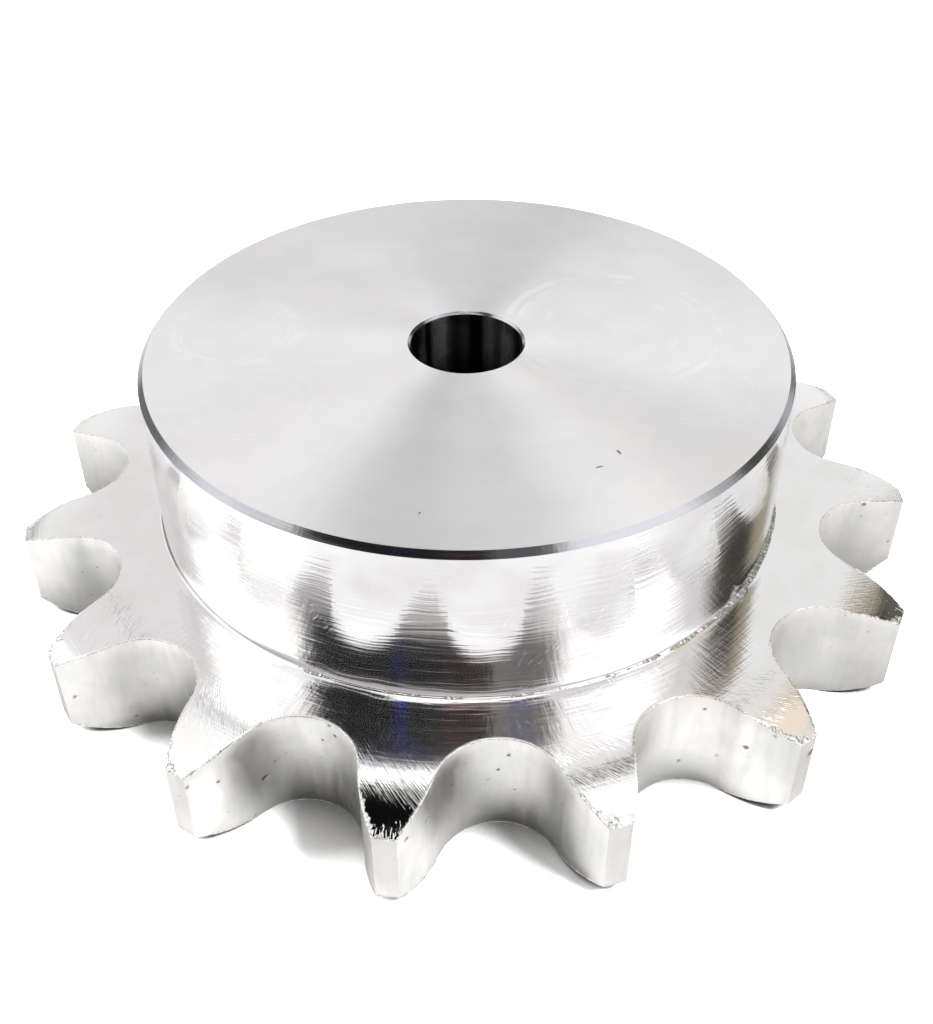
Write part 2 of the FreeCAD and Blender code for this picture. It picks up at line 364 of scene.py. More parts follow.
# %% The outline from its sizes
TEETH = 15
CHAIN_PITCH = 25.4
SEAT_RADIUS = 8.1
SEAT_ANGLE = math.radians(134)
FLANK_RADIUS = 24.4
ADDENDUM = 5.415
PITCH_RADIUS = CHAIN_PITCH / 2 / math.sin(math.pi / TEETH)
TIP_RADIUS = PITCH_RADIUS + ADDENDUM


def arc(centre, radius, start, end, steps):
    """Points along an arc, as complex numbers, with both its ends."""
    return centre + radius * np.exp(1j * np.linspace(start, end, steps + 1))


def half_gap(seat_steps, flank_steps, land_steps):
    """From the bottom of a gap to the middle of the next tooth, for a gap that opens along X."""
    seat_end = math.pi - SEAT_ANGLE / 2
    flank_centre = PITCH_RADIUS + (SEAT_RADIUS + FLANK_RADIUS) * np.exp(1j * seat_end)
    reach = abs(flank_centre)
    swing = math.acos((reach**2 + TIP_RADIUS**2 - FLANK_RADIUS**2) / (2 * reach * TIP_RADIUS))
    tip = TIP_RADIUS * np.exp(1j * (np.angle(flank_centre) - swing))
    seat = arc(PITCH_RADIUS, SEAT_RADIUS, math.pi, seat_end, seat_steps)
    flank = arc(flank_centre, FLANK_RADIUS, seat_end - math.pi, np.angle(tip - flank_centre), flank_steps)
    land = arc(0, TIP_RADIUS, np.angle(tip), math.pi / TEETH, land_steps)
    return np.concatenate([seat[:-1], flank[:-1], land]), len(seat) + len(flank) - 2


def whole_outline(seat_steps, flank_steps, land_steps):
    """The closed outline, the distance along it, the way inward, and which points are on a tip's land."""
    side, tip_index = half_gap(seat_steps, flank_steps, land_steps)
    gap = np.concatenate([np.conj(side[:0:-1]), side[:-1]])
    on_land = np.arange(len(side)) >= tip_index
    land = np.concatenate([on_land[:0:-1], on_land[:-1]])
    turns = np.exp(1j * (-math.pi / 2 + 2 * math.pi / TEETH * np.arange(TEETH)))
    points = (turns[:, None] * gap[None, :]).ravel()
    steps = np.abs(np.roll(points, -1) - points)
    along = np.concatenate([[0], np.cumsum(steps)])
    ahead = np.roll(points, -1) - points
    behind = points - np.roll(points, 1)
    heading = ahead / np.abs(ahead) + behind / np.abs(behind)
    inward = 1j * heading / np.abs(heading)
    return points, along, inward, np.tile(land, TEETH)


outline, along, inward, on_land = whole_outline(12, 12, 2)
COLUMNS = len(outline)
print(COLUMNS, "points round the teeth,", round(along[-1], 1), "mm long")
print("tips", round(2 * TIP_RADIUS, 2), "mm across")

# %% [markdown]
# ## The body as one closed skin
# Walk round the cut section of the sprocket: up the bore, out over the hub's face, down its side, out
# along the plate, down a tooth's wall and back underneath. Each stop on that walk is a ring with as many
# points as the outline has, and two neighbouring rings make a band of four-sided faces. It could be a
# boolean cut of simple solids, but that leaves long thin faces that shade badly. This way every edge gets
# its small rounding, each band knows which tool made it, and the whole is one skin without a hole.
# The plate's sides aren't flat right to the tip. They curve in towards each other, so that a chain's
# links slide over the teeth, and that curve is a function of the distance from the axis.

# %% The rings of the section
RELIEF_RADIUS = 25.4
RELIEF_DEPTH = 2.4
RELIEF_START = TIP_RADIUS - math.sqrt(RELIEF_DEPTH * (2 * RELIEF_RADIUS - RELIEF_DEPTH))
HUB_FACE = 31.9
HUB_RADIUS = 46.0
HUB_CHAMFER = 0.8
ROOT_FILLET = 0.5
BORE_RADIUS = 8.0
BORE_CHAMFER = 0.35
EDGE = 0.12

spokes = outline / np.abs(outline)
BORED, FACED, TURNED, BEVELLED, PLATE, HOBBED, LAND, BACK = range(8)
rings = []


def ring(points, height, band):
    """Adds a ring of the section. band says which tool made the faces between it and the next ring."""
    heights = np.broadcast_to(np.asarray(height, float), points.shape)
    rings.append((points, heights, band))


def relief(points):
    """How far each side of the plate has curved in at these points."""
    run = np.clip(np.abs(points) - RELIEF_START, 0, None)
    return RELIEF_RADIUS - np.sqrt(RELIEF_RADIUS**2 - run**2)


for height in np.linspace(BACK_FACE + BORE_CHAMFER, HUB_FACE - BORE_CHAMFER, 7):
    ring(spokes * BORE_RADIUS, height, BORED)
rings[-1] = (*rings[-1][:2], BEVELLED)
for radius in np.linspace(BORE_RADIUS + BORE_CHAMFER, HUB_RADIUS - HUB_CHAMFER, 12):
    ring(spokes * radius, HUB_FACE, FACED)
rings[-1] = (*rings[-1][:2], BEVELLED)
for height in np.linspace(HUB_FACE - HUB_CHAMFER, PLATE_FACE + ROOT_FILLET, 9):
    ring(spokes * HUB_RADIUS, height, TURNED)
for angle in np.radians([22.5, 45, 67.5]):
    radius = HUB_RADIUS + ROOT_FILLET * (1 - math.cos(angle))
    ring(spokes * radius, PLATE_FACE + ROOT_FILLET * (1 - math.sin(angle)), TURNED)

root = spokes * (HUB_RADIUS + ROOT_FILLET)
inset = outline + EDGE * inward
shares = np.linspace(0, 1, 19)
for share in shares:
    points = root + share * (inset - root)
    ring(points, PLATE_FACE - relief(points), PLATE)
for angle in np.radians([30, 60, 90]):
    points = inset + math.sin(angle) * (outline - inset)
    ring(points, PLATE_FACE - relief(inset) - EDGE * (1 - math.cos(angle)), HOBBED)
wall_top = PLATE_FACE - relief(inset) - EDGE
for share in np.linspace(1, -1, 9)[1:-1]:
    ring(outline, share * wall_top, HOBBED)
for angle in np.radians([90, 60, 30]):
    points = inset + math.sin(angle) * (outline - inset)
    ring(points, -(PLATE_FACE - relief(inset) - EDGE * (1 - math.cos(angle))), HOBBED)
for share in shares[::-2]:
    points = root + share * (inset - root)
    ring(points, -(PLATE_FACE - relief(points)), BACK)
for radius in np.linspace(HUB_RADIUS, BORE_RADIUS + BORE_CHAMFER, 7)[1:]:
    ring(spokes * radius, BACK_FACE, BACK)
rings[-1] = (*rings[-1][:2], BEVELLED)
print(len(rings), "rings,", 2 * len(rings) * COLUMNS, "triangles")

# %% [markdown]
# Now the rings become a mesh. The two directions of the skin are kept as a UV map in millimetres: round
# the outline, and up the wall. The hobbed walls need it, because their marks run up and down, whichever
# way a wall faces. Shading is smooth, with sharp edges where two surfaces meet at more than forty
# degrees.

# %% Build the sprocket's mesh


def skin(name, ring_points, heights, along, bands):
    """A mesh from rings of complex points and heights. bands has a material index per face."""
    count, columns = ring_points.shape
    places = np.stack([ring_points.real, ring_points.imag, heights], axis=-1).reshape(-1, 3) * MM
    i = np.arange(count)[:, None]
    j = np.arange(columns)[None, :]
    below, after = (i + 1) % count, (j + 1) % columns
    quads = [i * columns + j, below * columns + j, below * columns + after, i * columns + after]
    quads = np.stack(quads, axis=-1).reshape(-1, 4)
    mesh = bpy.data.meshes.new(name)
    mesh.from_pydata(places, [], quads.tolist())
    mesh.polygons.foreach_set("material_index", np.broadcast_to(bands, (count, columns)).ravel())
    up_wall = np.broadcast_to(heights, ring_points.shape)
    u0 = np.broadcast_to(along[None, :-1], (count, columns))
    u1 = np.broadcast_to(along[None, 1:], (count, columns))
    v0, v1 = up_wall[i, j], up_wall[below, j]
    v2, v3 = up_wall[below, after], up_wall[i, after]
    unrolled = np.stack([u0, v0, u0, v1, u1, v2, u1, v3], axis=-1).reshape(-1)
    layer = mesh.uv_layers.new(name="wall")
    layer.data.foreach_set("uv", unrolled.astype(np.float32))
    mesh.shade_smooth()
    mesh.update()
    return mesh


SHARP_FROM = math.radians(40)
ring_points = np.array([points for points, _, _ in rings])
ring_heights = np.array([heights for _, heights, _ in rings])
bands = np.repeat(np.array([band for _, _, band in rings])[:, None], COLUMNS, axis=1)
land_faces = on_land & np.roll(on_land, -1)
bands[(bands == HOBBED) & land_faces[None, :]] = LAND
body_mesh = skin("sprocket_body", ring_points, ring_heights, along, bands)
body_mesh.set_sharp_from_angle(angle=SHARP_FROM)
body = bpy.data.objects.new("sprocket_body", body_mesh)
bpy.context.scene.collection.objects.link(body)
print("sprocket_body:", len(body_mesh.vertices), "points,", len(body_mesh.polygons), "faces")

# %% [markdown]
# A check before going on: the skin has to lie where the part's solid lies. Each of its points is measured
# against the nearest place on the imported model.

# %% Compare the skin with the part
node = frame["nodes"]["sprocket"]
part_faces = [face.vertices for face in node.data.polygons]
part_tree = BVHTree.FromPolygons([point.co for point in node.data.vertices], part_faces)
gaps = [part_tree.find_nearest(point.co)[3] for point in body_mesh.vertices]
print("farthest from the part:", round(max(gaps) / MM, 3), "mm")
print("on average", round(sum(gaps) / len(gaps) / MM, 4), "mm")

# %% [markdown]
# ## Torn edges
# Where the hob leaves the plate's side it pushes up a ragged lip of metal, a burr, and nobody has filed
# it off. It is a fraction of a millimetre wide along the gaps and widest round the tips, and it glints
# because its torn facets point every way. It could be a bump in the material, but it breaks the outline
# of the edge, so it is a strip of its own: a thin closed skin that follows the edge in fine steps, with a
# ragged width and height.

# %% Ragged numbers along a path


def ragged(distance, total, spacing, seed):
    """Random numbers from 0 to 1 along a closed path, straight between knots about spacing apart."""
    knots = max(int(total / spacing), 4)
    values = np.random.default_rng(seed).random(knots)
    return np.interp(distance, np.arange(knots + 1) * total / knots, np.append(values, values[0]))


# %% [markdown]
# A hob smears the metal most where it leaves a tooth, so the lip is widest on one flank and towards the tip.
# The strip's section has seven points, and the two edges of the plate get random numbers of their own.

# %% Build the burr along both sides of the teeth
FINE = (60, 58, 10)
TIPWARD_FROM, TIPWARD_TO = 60.5, 65.0
edge_line, edge_along, edge_inward, _ = whole_outline(*FINE)
total = edge_along[-1]
distance = edge_along[:-1]
tipward = np.clip((np.abs(edge_line) - TIPWARD_FROM) / (TIPWARD_TO - TIPWARD_FROM), 0, 1)
from_gap = np.degrees(np.angle(edge_line * 1j)) / (360 / TEETH)
left_flank = np.clip(10 * (from_gap - np.round(from_gap)), 0, 1)


def burr(name, side, seed):
    """A ragged strip along the edge between the plate's side and the walls. side is 1 above, -1 below."""
    chunks = ragged(distance, total, 3.4, seed) ** 5
    teeth = ragged(distance, total, 0.30, seed + 1)
    nicks = ragged(distance, total, 0.8, seed + 2)
    smear = tipward * (0.15 + 0.85 * left_flank) * (0.3 + teeth) * (0.4 + nicks)
    width = 0.05 + 0.08 * teeth * nicks + 0.55 * chunks * teeth + 0.80 * smear
    height = 0.012 + 0.030 * teeth + 0.22 * chunks * nicks + 0.10 * smear * teeth
    drop = 0.04 + 0.12 * teeth * nicks + 0.40 * tipward * teeth * nicks
    out = 0.012 + 0.02 * nicks + 0.05 * chunks
    # how far in from the edge, and how far above the plate's side
    profile = [
        (width, -0.03 + 0 * width),
        (0.62 * width, height * (0.4 + 0.6 * nicks)),
        (0.18 * width, height),
        (-out, 0.2 * height),
        (-out * (0.5 + nicks), -0.5 * drop),
        (0.01 + 0 * width, -drop),
        (0.25 + 0 * width, -0.3 + 0 * width),
    ]
    lines, heights = [], []
    for depth, rise in profile[::side]:
        points = edge_line + depth * edge_inward
        lines.append(points)
        heights.append(side * (PLATE_FACE - relief(points) + rise))
    return skin(name, np.array(lines), np.array(heights), edge_along, np.zeros((len(profile), 1), int))


burrs = []
for name, side, seed in (("edge_burr_top", 1, 11), ("edge_burr_back", -1, 51)):
    mesh = burr(name, side, seed)
    if side < 0:
        lift = np.zeros(len(mesh.vertices) * 3)
        mesh.vertices.foreach_get("co", lift)
        lift[2::3] = np.maximum(lift[2::3], BACK_FACE * MM)
        mesh.vertices.foreach_set("co", lift)
    piece = bpy.data.objects.new(name, mesh)
    bpy.context.scene.collection.objects.link(piece)
    burrs.append(piece)
    print(name, 2 * len(mesh.polygons), "triangles")

# %% [markdown]
# ## Crust in the corner
# Where the turning tool ran into the corner between hub and plate, chips were rubbed into the metal. They
# left a narrow matt band with small bright crumbs on it, thicker on the right and with one real lump
# there. A strip with a flat section makes the band, and ragged numbers make its width and the crumbs
# uneven.

# %% Build the crust round the hub's foot
CRUST_STEPS = 3600
LUMP_AT, LUMP_HALF = 50.5, 1.8
HEAVY_FROM, HEAVY_TO = 28, 80
FADES_AT = -50
HEAVY_FADE, CRUST_FADE = 8, 20

crust_turn = np.exp(2j * math.pi * np.arange(CRUST_STEPS) / CRUST_STEPS) * -1j
degrees_round = (np.arange(CRUST_STEPS) * 360 / CRUST_STEPS + 180) % 360 - 180
crust_along = np.linspace(0, 2 * math.pi * HUB_RADIUS, CRUST_STEPS + 1)
stops, length = crust_along[:-1], crust_along[-1]
heavy = np.clip((degrees_round - HEAVY_FROM) / HEAVY_FADE, 0, 1)
heavy = heavy * np.clip((HEAVY_TO - degrees_round) / HEAVY_FADE, 0, 1)
lump = np.exp(-((degrees_round - LUMP_AT) / LUMP_HALF) ** 4)
present = np.clip((degrees_round - FADES_AT) / CRUST_FADE, 0, 1)
wide = 0.25 + present * (0.15 + 0.35 * ragged(stops, length, 1.6, 71)) + 0.15 * heavy + 0.7 * lump
crumbs = ragged(stops, length, 0.33, 72) ** 5 * ragged(stops, length, 2.5, 73)
rise = 0.01 + present * 0.22 * crumbs + 0.05 * heavy * ragged(stops, length, 0.5, 74) + 0.40 * lump
# the strip's section, from the hub's side to the plate and back inside; the crumbs stand on its middle
section = [(-0.03, 0.50), (0.09, 0.33), (0.28, 0.17), (0.50, 0.07), (0.72, 0.01), (0.30, -0.12)]
lines, heights = [], []
for row, (outward, above) in enumerate(section):
    on_middle = row in (1, 2, 3)
    own = rise * (0.3 + 1.2 * ragged(stops, length, 0.28, 80 + row)) * on_middle
    lines.append(crust_turn * (HUB_RADIUS + outward * wide + 0.5 * own))
    heights.append(PLATE_FACE + above * wide + own)
one_band = np.zeros((len(section), 1), int)
crust_mesh = skin("corner_crust", np.array(lines)[::-1], np.array(heights)[::-1], crust_along, one_band)
crust = bpy.data.objects.new("corner_crust", crust_mesh)
bpy.context.scene.collection.objects.link(crust)
print("corner_crust:", 2 * len(crust_mesh.polygons), "triangles")

# %% [markdown]
# ## Stainless steel, and what a tool does to it
# All the finishes are one metal. Its colour is a light, almost neutral grey, and a cut surface is covered
# in fine parallel grooves. Light spreads across grooves and hardly along them, so a reflection is drawn
# out into a streak that crosses them. Principled's anisotropy does that, once its tangent points the way
# the light spreads. The tool runs round the axis on a lathe, so that direction is worked out from the
# surface's normal and the direction of travel, for the face, the side and the bevels alike.
# Lengths are in millimetres in every finish, so a pattern's scale follows from the size of the real mark.

# %% What all steel finishes share


def steel(name, colour, roughness, anisotropy):
    """Starts a steel finish. Returns it, its tree, its shader, and the place on the object in mm."""
    material = bpy.data.materials.new(name)
    material.use_nodes = True
    tree = material.node_tree
    tree.nodes.clear()
    shader = add(tree, "BsdfPrincipled", {"Base Color": linear(colour), "Metallic": 1.0})
    shader.inputs["Roughness"].default_value = roughness
    shader.inputs["Anisotropic"].default_value = anisotropy
    add(tree, "OutputMaterial", {"Surface": shader})
    coords = add(tree, "TexCoord").outputs["Object"]
    place = add(tree, "VectorMath", {0: coords, 1: [1 / MM] * 3}, **TIMES)
    return material, tree, shader, place


def across_the_grooves(tree, shader, place):
    """Points the shader's tangent across grooves that run round the axis."""
    travel = add(tree, "VectorMath", {0: (0, 0, 1), 1: place}, operation="CROSS_PRODUCT")
    normal = add(tree, "NewGeometry").outputs["Normal"]
    spread = add(tree, "VectorMath", {0: normal, 1: travel}, operation="CROSS_PRODUCT")
    straight = add(tree, "VectorMath", {0: spread}, operation="NORMALIZE")
    tree.links.new(straight.outputs[0], shader.inputs["Tangent"])


def from_axis(tree, place):
    """The distance from the axis, in millimetres."""
    flat = add(tree, "VectorMath", {0: place, 1: (1, 1, 0)}, **TIMES)
    return add(tree, "VectorMath", {0: flat}, operation="LENGTH").outputs["Value"]


finishes = {}
print("steel #E8E7E7 mirrors", round(linear("#E8E7E7")[0], 2), "of the light")

# %% [markdown]
# A lathe leaves one long spiral. So its grooves are a noise whose coordinates run fast across the spiral,
# with a few grooves to a millimetre, and slowly round the axis, where each groove goes on for a good part
# of a turn. The tool also shakes a little, and leaves chatter: short waves along its travel, in patches.
# The same function makes both, with the numbers the other way round.

# %% Marks round the axis


def around_axis(tree, place, across, spacing, length):
    """Noise in millimetres: spacing is measured across the travel of the tool, length along it."""
    flat = add(tree, "VectorMath", {0: place, 1: (1, 1, 0)}, **TIMES)
    unit = add(tree, "VectorMath", {0: flat}, operation="NORMALIZE")
    rim = HUB_RADIUS / length
    bent = add(tree, "VectorMath", {0: unit, 1: (rim, rim, 0)}, **TIMES)
    steps = add(tree, "Math", {0: across, 1: 1 / spacing}, **TIMES)
    steps = add(tree, "CombineXYZ", {2: steps})
    where = add(tree, "VectorMath", {0: bent, 1: steps}, operation="ADD")
    return add(tree, "TexNoise", {"Vector": where, "Scale": 1.0, "Detail": 1.0})


def cut_into(tree, shader, *reliefs):
    """Chains bumps into the shader's normal. A relief is a height from 0 to 1, and its depth in mm."""
    normal = None
    for height, depth in reliefs:
        inputs = {"Height": height, "Distance": depth * MM}
        if normal is not None:
            inputs["Normal"] = normal
        normal = add(tree, "Bump", inputs)
    tree.links.new(normal.outputs[0], shader.inputs["Normal"])


def painted(tree, shader, colour, *layers):
    """Lays tints over a colour, each by a share from 0 to 1, and gives the result to the shader."""
    colour = linear(colour)
    for share, tint in layers:
        colour = add(tree, "Mix", {0: share, 6: colour, 7: linear(tint)}, data_type="RGBA").outputs[2]
    tree.links.new(colour, shader.inputs["Base Color"])


def roughened(tree, shader, rough, *layers):
    """Adds to a roughness, each amount by a share from 0 to 1, and gives the result to the shader."""
    for share, amount in layers:
        rough = add(tree, "Math", {0: share, 1: amount, 2: rough}, operation="MULTIPLY_ADD")
    tree.links.new(rough.outputs[0], shader.inputs["Roughness"])


print("grooves 0.3 mm apart are about 2 pixels apart in the picture")

# %% [markdown]
# ## The hub's face
# This is faced steel: the tool crossed it from the rim to the bore, in fine rings. Its look comes from
# the streaks of light that cross the rings as two faint bright lines, and a darker wedge in front. On top
# lie the marks of handling: a haze of wear, swirls from a polishing pad beside the bore, and three nicks
# near the front. A swirl is rings about a centre of its own, kept to an annulus and broken up by a noise.
# A nick is an ellipse: the place is moved and turned into the nick's own axes, divided by its half sizes,
# and is inside below one.

# %% The faced finish
material, tree, shader, place = steel("stainless_faced", "#EDECEE", 0.34, 0.92)
across_the_grooves(tree, shader, place)
radius = from_axis(tree, place)
rings_cut = around_axis(tree, place, radius, 0.30, 20)
haze = add(tree, "TexNoise", {"Vector": place, "Scale": 1 / 9, "Detail": 3.0})

# centre x and y, inner and outer radius of the annulus, how strong
SWIRLS = [(-33, 5, 5, 12, 0.8), (-29, -13, 4, 10, 0.6), (21, 2, 8, 19, 0.6), (30, -14, 4, 11, 0.5)]
scuff = 0.0
for x, y, inner, outer, strength in SWIRLS:
    reach = add(tree, "VectorMath", {0: place, 1: (x, y, HUB_FACE)}, operation="DISTANCE").outputs["Value"]
    arcs = add(tree, "TexNoise", {"W": reach, "Scale": 1 / 2.0, "Detail": 3.0}, noise_dimensions="1D")
    past_inner = add(tree, "MapRange", {0: reach, 1: inner, 2: inner + 2}, **SMOOTH)
    before_outer = add(tree, "MapRange", {0: reach, 1: outer, 2: outer - 4}, **SMOOTH)
    inside = add(tree, "Math", {0: past_inner, 1: before_outer}, **TIMES)
    inside = add(tree, "Math", {0: inside, 1: strength}, **TIMES)
    swirl = add(tree, "MapRange", {0: arcs, 1: 0.42, 2: 0.70}, **SMOOTH)
    swirl = add(tree, "Math", {0: swirl, 1: inside}, **TIMES)
    scuff = add(tree, "Math", {0: swirl, 1: scuff}, operation="MAXIMUM")
worn = add(tree, "TexNoise", {"Vector": place, "Scale": 1 / 5, "Detail": 2.0})
worn = add(tree, "MapRange", {0: worn, 1: 0.46, 2: 0.64}, **SMOOTH)
scuff = add(tree, "Math", {0: scuff, 1: worn}, **TIMES)

# centre x and y, half length, half width, direction in degrees
NICKS = [(17.5, -27.6, 0.50, 0.17, 110), (14.6, -30.5, 0.55, 0.14, 15), (-8.0, -38.0, 0.3, 0.1, 60)]
nicked = 0.0
for x, y, half_length, half_width, direction in NICKS:
    moved = add(tree, "VectorMath", {0: place, 1: (x, y, HUB_FACE)}, operation="SUBTRACT")
    turn_back = {"Vector": moved, "Angle": -math.radians(direction)}
    turned = add(tree, "VectorRotate", turn_back, rotation_type="Z_AXIS")
    shares = add(tree, "VectorMath", {0: turned, 1: (half_length, half_width, 1)}, operation="DIVIDE")
    reach = add(tree, "VectorMath", {0: shares}, operation="LENGTH").outputs["Value"]
    nick = add(tree, "MapRange", {0: reach, 1: 1.2, 2: 0.7}, **SMOOTH)
    nicked = add(tree, "Math", {0: nick, 1: nicked}, operation="MAXIMUM")

hazed = add(tree, "MapRange", {0: haze, 1: 0.35, 2: 0.65}, **SMOOTH)
bare = add(tree, "Math", {0: scuff, 1: 0.9}, **TIMES)
painted(tree, shader, "#E9E8E9", (hazed, "#EEEDED"), (bare, "#FFFFFF"), (nicked, "#77746A"))
roughened(tree, shader, 0.32, (scuff, 0.07), (haze, 0.03))
sunk = add(tree, "Math", {0: nicked, 1: -1}, **TIMES)
cut_into(tree, shader, (rings_cut, 0.0100), (scuff, 0.0040), (sunk, 0.04))
finishes[FACED] = material
print("faced:", len(tree.nodes), "nodes")

# %% [markdown]
# ## The hub's side and its bevels
# The side is turned smoother than the face, so it mirrors the plate, the paper and the dark figure, each
# drawn out up and down. Its grooves show as wavy lines where a light band meets a dark one. Chatter, a faint
# haze, and a few bundles of slanted scratches lie over them. The scratches need a flat map of the side,
# so the direction round the axis is turned into millimetres along the rim, with its seam at the back.

# %% The turned finish
SCRATCH_LEAN = math.radians(52)


def unrolled(tree, place):
    """Millimetres along the hub's rim, from the front, the direction in radians, and the height."""
    axes = add(tree, "SeparateXYZ", {0: place})
    front = add(tree, "Math", {0: axes.outputs["Y"], 1: -1}, **TIMES)
    direction = add(tree, "Math", {0: axes.outputs["X"], 1: front}, operation="ARCTAN2")
    return add(tree, "Math", {0: direction, 1: HUB_RADIUS}, **TIMES), direction, axes.outputs["Z"]


material, tree, shader, place = steel("stainless_turned", "#E8E7E7", 0.10, 0.95)
across_the_grooves(tree, shader, place)
rim, direction, height = unrolled(tree, place)
drift = add(tree, "TexNoise", {"Vector": place, "Scale": 1 / 6, "Detail": 1.0})
wavy = add(tree, "Math", {0: drift, 1: 1.6, 2: height}, operation="MULTIPLY_ADD")
fine_grooves = around_axis(tree, place, wavy, 0.50, 14)
finer_grooves = around_axis(tree, place, height, 0.32, 14)
chatter = around_axis(tree, place, height, 5.0, 0.5)
patches = add(tree, "TexNoise", {"Vector": place, "Scale": 1 / 8, "Detail": 2.0})

side_map = add(tree, "CombineXYZ", {0: rim, 1: height})
leaned = add(tree, "VectorRotate", {"Vector": side_map, "Angle": -SCRATCH_LEAN}, rotation_type="Z_AXIS")
long_cells = add(tree, "VectorMath", {0: leaned, 1: (1.5, 0.22, 1)}, operation="DIVIDE")
strokes = add(tree, "TexNoise", {"Vector": long_cells, "Scale": 1.0, "Detail": 0.0})
strokes = add(tree, "MapRange", {0: strokes, 1: 0.62, 2: 0.80}, **SMOOTH)
bundles = add(tree, "MapRange", {0: patches, 1: 0.52, 2: 0.66}, **SMOOTH)
scratches = add(tree, "Math", {0: strokes, 1: bundles}, **TIMES)

haze = add(tree, "MapRange", {0: patches, 1: 0.38, 2: 0.62}, **SMOOTH)
bare = add(tree, "Math", {0: scratches, 1: 0.6}, **TIMES)
painted(tree, shader, "#EFEEEE", (haze, "#E3E1E2"), (bare, "#FFFFFF"))
roughened(tree, shader, 0.10, (scratches, 0.12))
between = add(tree, "MapRange", {0: patches, 1: 0.62, 2: 0.45}, **SMOOTH)
chatter = add(tree, "Math", {0: chatter, 1: between}, **TIMES)
grooves = (fine_grooves, 0.0350), (finer_grooves, 0.0040)
cut_into(tree, shader, *grooves, (chatter, 0.0060), (scratches, 0.0020))
finishes[TURNED] = material

material, tree, shader, place = steel("stainless_bevelled", "#A8A8AD", 0.13, 0.60)
across_the_grooves(tree, shader, place)
radius = from_axis(tree, place)
lines = around_axis(tree, place, radius, 0.22, 9)
waves = around_axis(tree, place, radius, 1.5, 0.7)
outside = add(tree, "MapRange", {0: radius, 1: 20, 2: 40}, **SMOOTH)
waves = add(tree, "Math", {0: waves, 1: outside}, **TIMES)
cut_into(tree, shader, (lines, 0.0140), (waves, 0.0080))
finishes[BEVELLED] = material
print("turned side and bevels made")

# %% [markdown]
# ## The plate's side
# The plate is turned too, and near the hub it mirrors the hub's side, dark in front. Towards the tips it
# has been linished, rubbed on an abrasive belt, which left bundles of scratches at some forty degrees to
# the radius on every tooth. They break the edge between a dark and a light reflection into a fringe.
# Right at the tips the rubbing has smeared the metal, and there light flecks lie on the dark.
# Each tooth gets a map of its own, so that the seam lies in the gap between two teeth, where there is no
# metal.

# %% The plate's finish
SCRATCH_SLANT = math.radians(41)
TOOTH_TURN = 2 * math.pi / TEETH
MAP_RADIUS = 58
material, tree, shader, place = steel("stainless_plate_side", "#E6E5E4", 0.07, 0.50)
across_the_grooves(tree, shader, place)
radius = from_axis(tree, place)
_, direction, _ = unrolled(tree, place)
feed = around_axis(tree, place, radius, 0.34, 12)
chatter = around_axis(tree, place, radius, 4.0, 0.55)

in_teeth = add(tree, "Math", {0: direction, 1: 1 / TOOTH_TURN}, **TIMES)
tooth = add(tree, "Math", {0: in_teeth}, operation="FLOOR")
share = add(tree, "Math", {0: in_teeth}, operation="FRACT")
tooth_width = TOOTH_TURN * MAP_RADIUS
sideways = add(tree, "Math", {0: share, 1: tooth_width, 2: -tooth_width / 2}, operation="MULTIPLY_ADD")
tooth_map = add(tree, "CombineXYZ", {0: radius, 1: sideways})
slanted = add(tree, "VectorRotate", {"Vector": tooth_map, "Angle": -SCRATCH_SLANT}, rotation_type="Z_AXIS")
cells = add(tree, "VectorMath", {0: slanted, 1: (3.0, 0.17, 1)}, operation="DIVIDE")
own = add(tree, "Math", {0: tooth, 1: 7.3}, **TIMES)
own = add(tree, "CombineXYZ", {2: own})
cells = add(tree, "VectorMath", {0: cells, 1: own}, operation="ADD")
scratches = add(tree, "TexNoise", {"Vector": cells, "Scale": 1.0, "Detail": 2.0})
belt_from = add(tree, "MapRange", {0: radius, 1: 51.5, 2: 58.0}, **SMOOTH)
belt_to = add(tree, "MapRange", {0: radius, 1: 64.0, 2: 60.5, 3: 0.25, 4: 1.0}, **SMOOTH)
linished = add(tree, "Math", {0: belt_from, 1: belt_to}, **TIMES)

drawn = add(tree, "VectorMath", {0: tooth_map, 1: (0.8, 0.17, 1)}, operation="DIVIDE")
drawn = add(tree, "VectorMath", {0: drawn, 1: own}, operation="ADD")
smears = add(tree, "TexNoise", {"Vector": drawn, "Scale": 1.0, "Detail": 3.0})
near_tip = add(tree, "MapRange", {0: radius, 1: 62.5, 2: 67.0, 3: -0.15, 4: 0.05}, **SMOOTH)
smears = add(tree, "Math", {0: smears, 1: near_tip}, operation="ADD")
flecks = add(tree, "MapRange", {0: smears, 1: 0.60, 2: 0.70}, **SMOOTH)
outside = add(tree, "MapRange", {0: radius, 1: 59.0, 2: 61.0}, **SMOOTH)
flecks = add(tree, "Math", {0: flecks, 1: outside}, **TIMES)

cloud = add(tree, "TexNoise", {"Vector": place, "Scale": 1 / 7, "Detail": 2.0})
cloud = add(tree, "MapRange", {0: cloud, 1: 0.38, 2: 0.62}, **SMOOTH)
painted(tree, shader, "#E9E8E8", (cloud, "#E5E4E2"), (flecks, "#F4F4F4"))
roughened(tree, shader, 0.05, (flecks, 0.38), (linished, 0.04))
scratches = add(tree, "Math", {0: scratches, 1: linished}, **TIMES)
cut_into(tree, shader, (feed, 0.0090), (chatter, 0.0120), (scratches, 0.0320), (flecks, 0.0150))
finishes[PLATE] = material
print("plate side:", len(tree.nodes), "nodes")

